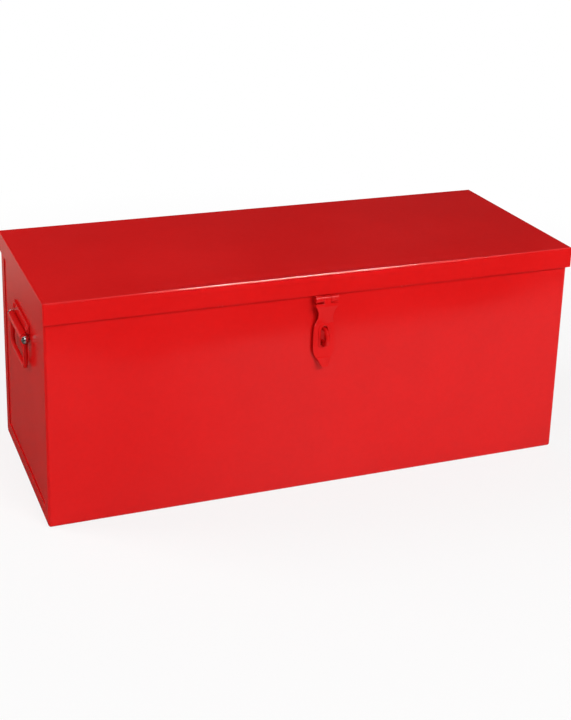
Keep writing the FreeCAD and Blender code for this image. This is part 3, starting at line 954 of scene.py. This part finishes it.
def only_in_gloss(thing):
    """Hides a thing from every ray but the glossy ones."""
    thing.visible_camera = False
    thing.visible_diffuse = False
    thing.visible_shadow = False
    thing.visible_transmission = False


def seen_directly(tree):
    """One where a camera, glossy or transmission ray meets the surface, else nothing."""
    path = node(tree, "ShaderNodeLightPath")
    seen = arithmetic(tree, "MAXIMUM", path.outputs["Is Camera Ray"], path.outputs["Is Glossy Ray"])
    return arithmetic(tree, "MAXIMUM", seen, path.outputs["Is Transmission Ray"])


def add_floor(s):
    """A wide pale floor whose far part turns to the white of the surround."""
    radius = 9.0
    below = -0.5 * MM
    speck_tone = 0.985
    points = level_circle(radius, below)
    mesh = bpy.data.meshes.new("floor")
    mesh.from_pydata(points, [], [list(range(len(points)))])
    floor = placed("floor", mesh)
    pale, tree, principled = matt_material("Pale studio floor", 0.9)
    place = place_of(tree)
    mixed = node(tree, "ShaderNodeMix", data_type="RGBA")
    mixed.inputs["A"].default_value = [c * speck_tone for c in s.floor_colour[:3]] + [1.0]
    mixed.inputs["B"].default_value = s.floor_colour
    tree.links.new(noise(tree, place, 35.0, 3.0), mixed.inputs["Factor"])
    tree.links.new(mixed.outputs["Result"], principled.inputs["Base Color"])
    fade = ramp(tree, distance_from(tree, place, (0.0, 0.0, 0.0)), 0.45, 1.3, 0.82, 1.0)
    white = node(tree, "ShaderNodeEmission", {"Color": (1.0, 1.0, 1.0, 1.0), "Strength": 1.0})
    blend = node(tree, "ShaderNodeMixShader")
    tree.links.new(arithmetic(tree, "MULTIPLY", fade, seen_directly(tree)), blend.inputs["Fac"])
    tree.links.new(principled.outputs["BSDF"], blend.inputs[1])
    tree.links.new(white.outputs["Emission"], blend.inputs[2])
    tree.links.new(blend.outputs["Shader"], tree.nodes["Material Output"].inputs["Surface"])
    mesh.materials.append(pale)


def add_world(scene, s):
    """Soft light from all round, white where it is looked at."""
    world = bpy.data.worlds.new("White surround")
    scene.world = world
    world.use_nodes = True
    tree = world.node_tree
    background = tree.nodes["Background"]
    background.inputs["Color"].default_value = (1.0, 1.0, 1.0, 1.0)
    strength = node(tree, "ShaderNodeMapRange", {"To Min": s.ambient, "To Max": 1.0})
    tree.links.new(seen_directly(tree), strength.inputs["Value"])
    tree.links.new(strength.outputs["Result"], background.inputs["Strength"])


def add_lamp(name, place, aim, width, height, power):
    """A rectangular softbox at a place, turned to face a point; gloss and camera don't see it."""
    lamp = bpy.data.lights.new(name, "AREA")
    lamp.shape = "RECTANGLE"
    lamp.size = width
    lamp.size_y = height
    lamp.energy = power
    thing = placed(name, lamp)
    thing.location = place
    away = np.array(place) - np.array(aim)
    turn = math.atan2(away[0], -away[1])
    tilt = math.atan2(math.hypot(away[0], away[1]), away[2])
    thing.rotation_euler = (tilt, 0.0, turn)
    thing.visible_camera = False
    thing.visible_glossy = False
    return thing


def add_glint(name, place, aim, width, height, power):
    """A lamp that only shows in gloss, where it draws lines and glints on bends and heads."""
    lamp = add_lamp(name, place, aim, width, height, power)
    lamp.visible_glossy = True
    lamp.visible_diffuse = False


def add_curtain():
    """A dark grey curtain round the studio that only mirror-like surfaces show."""
    radius = 4.0
    rings = [level_circle(radius, height) for height in (0.25, 3.4)]
    quads = sheet_of_quads(2, len(rings[0]), wrap_columns=True)
    mesh = bpy.data.meshes.new("curtain")
    mesh.from_pydata(np.concatenate(rings), [], quads.tolist())
    curtain = placed("curtain", mesh)
    cloth, tree, principled = matt_material("Dark grey curtain")
    folds = noise(tree, place_of(tree), 3.0, 2.0)
    tree.links.new(ramp(tree, folds, 0.3, 0.7, 0.07, 0.11), principled.inputs["Base Color"])
    mesh.materials.append(cloth)
    only_in_gloss(curtain)


def painted_shade_finish(name, middle, reach, tones, tint=(1.0, 1.0, 1.0)):
    """Painted shade for sheets that only gloss sees: a tinted matt tone that runs from one value to
    another between two distances from a middle.
    """
    made, tree, principled = matt_material(name)
    place = place_of(tree)
    sheet_mottle = ramp(tree, noise(tree, place, 40.0, 3.0), 0.3, 0.7, 0.95, 1.05)
    # painted shade: the tone is darker near the middle
    base = ramp(tree, distance_from(tree, place, middle), *reach, *tones)
    shade = node(tree, "ShaderNodeVectorMath", {0: tint}, operation="SCALE")
    tree.links.new(arithmetic(tree, "MULTIPLY", base, sheet_mottle), shade.inputs["Scale"])
    tree.links.new(shade.outputs["Vector"], principled.inputs["Base Color"])
    return made


def glowing_painted_shade():
    """A glowing finish that stands for the white floor in reflections, with painted shade greying
    it towards the chest's front left corner.
    """
    made, tree, _ = new_material("Glowing painted shade for reflections")
    away = distance_from(tree, place_of(tree), (-0.6, -0.55, 0.0))
    pale = node(tree, "ShaderNodeEmission")
    # painted shade: the glow dims towards a point beyond the chest's front left corner
    tree.links.new(ramp(tree, away, 0.42, 0.72, 0.43, 0.95), pale.inputs["Strength"])
    tree.links.new(pale.outputs["Emission"], tree.nodes["Material Output"].inputs["Surface"])
    return made


def add_painted_reflection_sheet():
    """Sheets on the floor, seen only in gloss, that paint shade and darkness into the chest's
    reflections.

    The grey part lies beside the left end and the black part beyond the front, and the glowing part
    lies between."""
    below = -0.2 * MM
    finishes = (
        # grey: painted shade of the floor beside the left end, as the end panel mirrors it
        painted_shade_finish("Grey painted shade for reflections", (-0.35, -0.14, 0.0), (0.6, 1.2), (0.135, 0.4), (1.0, 0.98, 0.84)),
        # black: painted dark reflection beyond the front
        painted_shade_finish("Black painted shade for reflections", (0.0, 0.0, 0.0), (0.6, 2.0), (0.02, 0.03)),
        # glowing painted shade between the grey and the black parts
        glowing_painted_shade(),
    )
    outlines = (
        (0, [(-3.2, -0.14), (-0.3, -0.14), (-0.3, 3.6), (-3.2, 3.6)]),
        (0, [(-3.2, -0.66), (-0.46, -0.66), (-0.46, -0.14), (-3.2, -0.14)]),
        (1, [
            (-3.2, -3.8), (3.2, -3.8), (3.2, -1.4), (0.8, -0.74), (0.68, -0.69), (0.56, -0.65),
            (0.43, -0.628), (0.1, -0.632), (0.0, -0.62), (-0.12, -0.59), (-0.2, -0.66),
            (-3.2, -0.66),
        ]),
        (2, [
            (-0.46, -0.66), (-0.2, -0.66), (-0.12, -0.59), (0.0, -0.62), (0.1, -0.632),
            (0.1, -0.14), (-0.46, -0.14),
        ]),
    )
    points = []
    faces = []
    for _, outline in outlines:
        faces.append([len(points) + k for k in range(len(outline))])
        points.extend((x, y, below) for x, y in outline)
    mesh = bpy.data.meshes.new("painted_reflection_sheet")
    mesh.from_pydata(points, [], faces)
    for finish in finishes:
        mesh.materials.append(finish)
    mesh.polygons.foreach_set("material_index", [finish for finish, _ in outlines])
    painted_reflection_sheet = placed("painted_reflection_sheet", mesh)
    only_in_gloss(painted_reflection_sheet)


def add_camera(scene, s):
    """The camera at the photograph's viewing angle."""
    data = bpy.data.cameras.new("Camera")
    data.sensor_width = 36.0
    data.lens = s.lens
    data.shift_y = s.rise
    camera = placed("Camera", data)
    camera.location = s.camera_place
    camera.rotation_euler = s.camera_turn
    scene.camera = camera


# The panel and the run


class SITECHEST_PT_panel(bpy.types.Panel):
    """Lists the chest's steps and settings in the sidebar"""

    bl_label = "Site Chest"
    bl_idname = "SITECHEST_PT_panel"
    bl_space_type = "VIEW_3D"
    bl_region_type = "UI"
    bl_category = "Site Chest"

    def draw(self, context):
        for step in STEPS:
            self.layout.operator(step.bl_idname)
        for label in ("enamel", "fittings", "studio"):
            box = self.layout.box()
            box.label(text=label.capitalize())
            settings = getattr(context.scene.site_chest, label)
            for key in settings.__annotations__:
                box.prop(settings, key)


STEPS = (
    SITECHEST_OT_body,
    SITECHEST_OT_lid,
    SITECHEST_OT_rear_hinge,
    SITECHEST_OT_hasp,
    SITECHEST_OT_handles,
    SITECHEST_OT_stage,
)
SETTINGS = (EnamelSettings, FittingSettings, StudioSettings, ChestSettings)
CLASSES = SETTINGS + STEPS + (SITECHEST_PT_panel,)


def register():
    """Registers the settings, the steps and the panel."""
    for cls in CLASSES:
        bpy.utils.register_class(cls)
    bpy.types.Scene.site_chest = bpy.props.PointerProperty(type=ChestSettings)


def unregister():
    """Takes them out again."""
    del bpy.types.Scene.site_chest
    for cls in reversed(CLASSES):
        bpy.utils.unregister_class(cls)


def main():
    """Runs every step in order."""
    register()
    bpy.ops.site_chest.body()
    bpy.ops.site_chest.lid()
    bpy.ops.site_chest.rear_hinge()
    bpy.ops.site_chest.hasp()
    bpy.ops.site_chest.handles()
    bpy.ops.site_chest.stage()
    bpy.context.view_layer.update()


if __name__ == "__main__":
    main()
